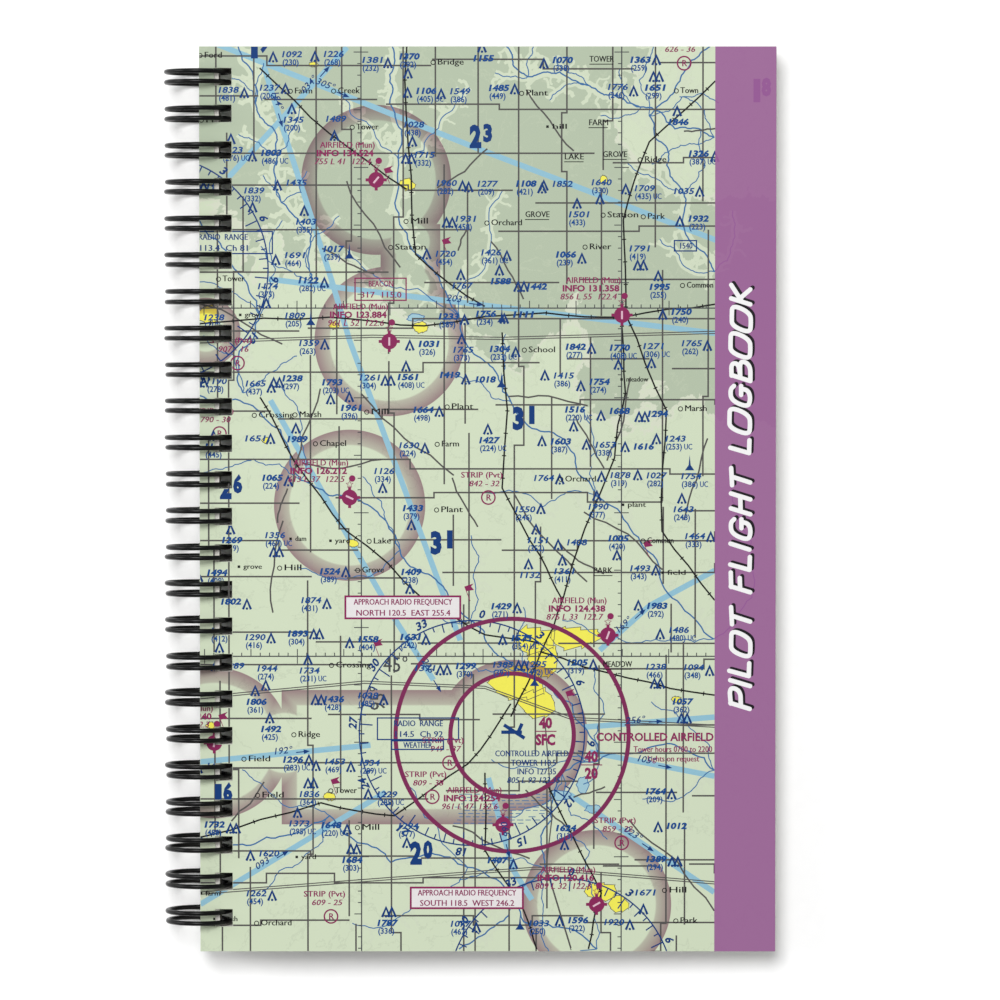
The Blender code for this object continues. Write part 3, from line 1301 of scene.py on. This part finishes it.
def draw_framed_notes(inks, ground):
    for low, high, colour, has_ground, lines in NOTE_BOXES:
        if has_ground:
            ground.box(low, high)
        inks[colour].frame(low, high, 0.45 if has_ground else 0.3)
        pitch = (high[1] - low[1]) / len(lines)
        room = high[0] - low[0] - 2.0
        for index, line in enumerate(lines):
            length = min(room, 0.95 * len(line))
            baseline = low[1] + pitch * (index + 0.5) + 0.66
            inks[colour].text(line, low[0] + 1.0 + (room - length) / 2, baseline, 1.35, length)


def draw_airfield_notes(ink):
    """Name, frequency and figures beside each airfield, and name and figures at each strip."""
    rng = random.Random(17)
    for x, y, _ in AIRFIELDS:
        ink.text("AIRFIELD (Mun)", x - 13.0, y - 7.4, 1.35, 12.6)
        info = f"INFO {rng.randrange(118, 136)}.{rng.randrange(100, 999)}"
        ink.text(info, x - 13.8, y - 5.5, 1.35, 13.2, weight=0.04)
        note = f"{rng.randrange(600, 990)} L {rng.randrange(30, 60)}  122.{rng.randrange(2, 9)}"
        ink.text(note, x - 14.4, y - 3.6, 1.35, 13.0, slant=SLANT)
        ink.disc(x + 0.6, y - 4.4, 0.75)
    for x, y in PRIVATE_STRIPS:
        ink.text("STRIP (Pvt)", x - 6.4, y - 4.6, 1.3, 9.6)
        note = f"{rng.randrange(600, 990)} - {rng.randrange(12, 40)}"
        ink.text(note, x - 4.6, y - 2.6, 1.3, 7.0, slant=SLANT)


def draw_core(magenta, blue):
    """The controlled airfield's height limits, notes and runways."""
    for x, y, upper, lower in ((78.6, 157.6, "40", "SFC"), (89.2, 165.4, "40", "20")):
        magenta.text(upper, x, y, 2.3, 3.0, weight=0.05)
        magenta.band(((x - 0.9, y + 0.8), (x + 4.0, y + 0.8)), 0.24)
        left = x - (0.8 if len(lower) > 2 else 0.0)
        magenta.text(lower, left, y + 3.9, 2.3, 1.5 * len(lower), weight=0.05)
    magenta.text("CONTROLLED AIRFIELD", 91.8, 160.6, 1.8, 27.2, weight=0.03)
    magenta.text("Tower hours 0700 to 2200", 100.4, 163.2, 1.35, 18.2)
    magenta.text("Lights on request", 103.6, 165.4, 1.35, 12.0)
    blue.text("CONTROLLED AIRFIELD", 68.3, 164.2, 1.35, 17.0)
    blue.text("TOWER 118.5", 72.0, 166.4, 1.4, 10.4)
    blue.text("805 L 92 123.35", 71.0, 170.4, 1.35, 12.2, slant=SLANT)
    blue.text("INFO 127.35", 73.4, 168.4, 1.4, 9.0)
    for runway in CORE_RUNWAYS:
        blue.band(runway, 0.8)


def build_notes():
    """Airfield notes, sector heights and framed boxes, in magenta and in blue."""
    magenta = Ink("magenta_notes", MAGENTA, 16)
    blue = Ink("blue_notes", NAVY, 16)
    ground = Ink("note_grounds", NOTE_GROUND, 12)
    draw_framed_notes({"magenta": magenta, "blue": blue}, ground)
    draw_airfield_notes(magenta)
    for x, y, large, raised in SECTORS:
        blue.text(large, x, y, 4.6, 2.6, weight=0.06)
        blue.text(raised, x + 3.0, y - 1.3, 3.6, 2.1, weight=0.06)
    draw_core(magenta, blue)
    draw_courses(blue)
    return [ground, magenta, blue]


# Pen strokes of each capital, in a cell as tall as 1, with the width of the letter first.
STROKES = {
    "B": (
        0.62,
        ((0, 0), (0.02, 1)),
        ((0, 1), (0.5, 1.02), (0.56, 0.62), (0.05, 0.54)),
        ((0.1, 0.54), (0.72, 0.56), (0.66, 0), (0, 0)),
    ),
    "F": (0.56, ((0, 0), (0.02, 1)), ((0, 0.98), (0.58, 1)), ((0.02, 0.52), (0.46, 0.54))),
    "G": (
        0.68,
        ((0.64, 0.84), (0.45, 1.04), (0.02, 0.98), (-0.06, 0.1), (0.3, -0.04), (0.62, 0.06), (0.62, 0.44)),
        ((0.36, 0.46), (0.72, 0.46)),
    ),
    "H": (0.62, ((0, 0), (0.02, 1)), ((0.6, 0), (0.62, 1)), ((0.02, 0.5), (0.6, 0.52))),
    "I": (0.06, ((0, 0), (0.02, 1))),
    "K": (0.58, ((0, 0), (0.02, 1)), ((0.56, 1), (0.04, 0.46)), ((0.12, 0.54), (0.6, 0))),
    "L": (0.48, ((0, 1), (0, 0.02)), ((0, 0.02), (0.52, 0))),
    "O": (
        0.72,
        ((0.36, 1), (-0.02, 1), (-0.1, 0.02), (0.3, -0.04), (0.72, 0), (0.84, 0.98), (0.36, 1)),
    ),
    "P": (0.58, ((0, 0), (0.02, 1)), ((0, 0.98), (0.66, 1.06), (0.64, 0.48), (0.04, 0.46))),
    "T": (0.66, ((0, 0.97), (0.68, 1.02)), ((0.34, 0.98), (0.32, 0))),
}
TITLE = "PILOT FLIGHT LOGBOOK"
TITLE_CAP_MM = 4.4
TITLE_LENGTH_MM = 97.0
TITLE_X_MM = 127.3
TITLE_Y_MM = 153.2
PEN_MM = 1.03
LETTER_GAP = 0.34
WORD_GAP = 0.50
SHADOW_SHIFT_MM = (0.55, -0.42)


def rounded(points):
    """The line with its corners cut twice, so that it bends like a pen stroke."""
    for _ in range(3):
        cut = [points[0]]
        for start, end in zip(points, points[1:]):
            for share in (0.25, 0.75):
                cut.append(tuple(a + (b - a) * share for a, b in zip(start, end)))
        points = cut + [points[-1]]
    return points


def title_lines():
    """Every pen stroke of the title in page millimetres, running up the band."""
    rng = random.Random(71)
    placed, pen = [], 0.0
    for letter in TITLE:
        if letter == " ":
            pen += WORD_GAP
            continue
        width, *strokes = STROKES[letter]
        rise, grow = rng.uniform(-0.03, 0.03), rng.uniform(0.97, 1.05)
        for stroke in strokes:
            placed.append([(pen + u + SLANT * v, v * grow + rise) for u, v in rounded(stroke)])
        pen += width + LETTER_GAP
    stretch = TITLE_LENGTH_MM / (pen - LETTER_GAP)
    return [
        [(TITLE_X_MM - v * TITLE_CAP_MM, TITLE_Y_MM - u * stretch) for u, v in line]
        for line in placed
    ]


def build_title():
    """The title, hand-lettered up the band in white over a black shadow."""
    shadow = Ink("title_shadow", TITLE_SHADOW, 17, ghost=1.0)
    title = Ink("title", WHITE, 19, ghost=1.0)
    for line in title_lines():
        for ink, (right, down) in ((shadow, SHADOW_SHIFT_MM), (title, (0.0, 0.0))):
            moved = [(x + right, y + down) for x, y in line]
            ink.band(moved, PEN_MM)
            for x, y in (moved[0], moved[-1]):
                ink.disc(x, y, PEN_MM / 2)
    return [shadow, title]


def build_print():
    layers = build_water() + build_towns() + [build_airways(), build_roads(), build_railways()]
    layers += [build_graticule(), build_roses(), build_rings()] + build_airfields()
    layers += build_labels() + build_notes() + build_title()
    for layer in layers:
        layer.build()


# ------------------------------ stage

# The camera stands a little towards the head and looks back at the book's middle.
CAMERA_HEIGHT = 1.25
FRAME_WIDTH = 0.2313
AIM = Vector((0.0700, 0.0, COVER_TOP))
CAMERA_PLACE = Vector((0.0700, 0.0381, COVER_TOP + CAMERA_HEIGHT))
SENSOR_MM = 36.0


def build_camera():
    data = bpy.data.cameras.new("camera")
    data.sensor_width = SENSOR_MM
    data.lens = SENSOR_MM * CAMERA_HEIGHT / FRAME_WIDTH
    camera = bpy.data.objects.new("camera", data)
    back = (CAMERA_PLACE - AIM).normalized()
    up = back.cross(Vector((1, 0, 0))).normalized()
    turn = Matrix((up.cross(back), up, back)).transposed().to_4x4()
    camera.matrix_world = BOOK @ Matrix.Translation(CAMERA_PLACE) @ turn
    bpy.context.scene.collection.objects.link(camera)
    bpy.context.scene.camera = camera


TABLE_WHITES = ((0.93, 0.93, 0.93, 1), (0.9, 0.9, 0.9, 1))


def build_floor():
    """A white table top with a barely visible tooth."""
    bm = bmesh.new()
    bmesh.ops.create_grid(bm, x_segments=1, y_segments=1, size=4.0)
    floor = bpy.data.objects.new("floor", mesh_from(bm, "floor"))
    bpy.context.scene.collection.objects.link(floor)
    floor.location.z = CAD_BOUNDS[0][2]
    shader = Shader("white_table", roughness=0.85)
    grain = shader.noise(3.0, detail=4.0)
    shader.set("Base Color", shader.mix(grain, *TABLE_WHITES))
    shader.set("Specular IOR Level", 0.1)
    floor.data.materials.append(shader.material)


def add_light(name, place, size, watts):
    data = bpy.data.lights.new(name, "AREA")
    data.shape = "DISK"
    data.size = size
    data.energy = watts
    light = bpy.data.objects.new(name, data)
    light.location = place
    light.rotation_euler = (-Vector(place)).to_track_quat("-Z", "Y").to_euler()
    bpy.context.scene.collection.objects.link(light)


KEY_PLACE = (-0.20, 0.64, 1.6)
KEY_WATTS = 24.0
SIDE_PLACE = (-1.3, 0.25, 0.6)
SIDE_WATTS = 10.0
WORLD_STRENGTH = 0.45


def build_lights():
    add_light("key", KEY_PLACE, 0.9, KEY_WATTS)
    add_light("side", SIDE_PLACE, 0.8, SIDE_WATTS)
    world = bpy.data.worlds.new("studio")
    world.use_nodes = True
    background = world.node_tree.nodes["Background"]
    background.inputs["Color"].default_value = (1.0, 1.0, 1.0, 1.0)
    background.inputs["Strength"].default_value = WORLD_STRENGTH
    bpy.context.scene.world = world
    bpy.context.scene.view_settings.view_transform = "Standard"


def main():
    inner = board_material("cover_board", BOARD_WHITE)
    build_cover("back_cover", board_material("back_laminate", BACK_GREEN), inner)
    build_leaves(paper_material())
    build_cover("front_cover", chart_material(), inner)
    build_wire(wire_material())
    build_print()
    build_floor()
    build_lights()
    build_camera()


main()
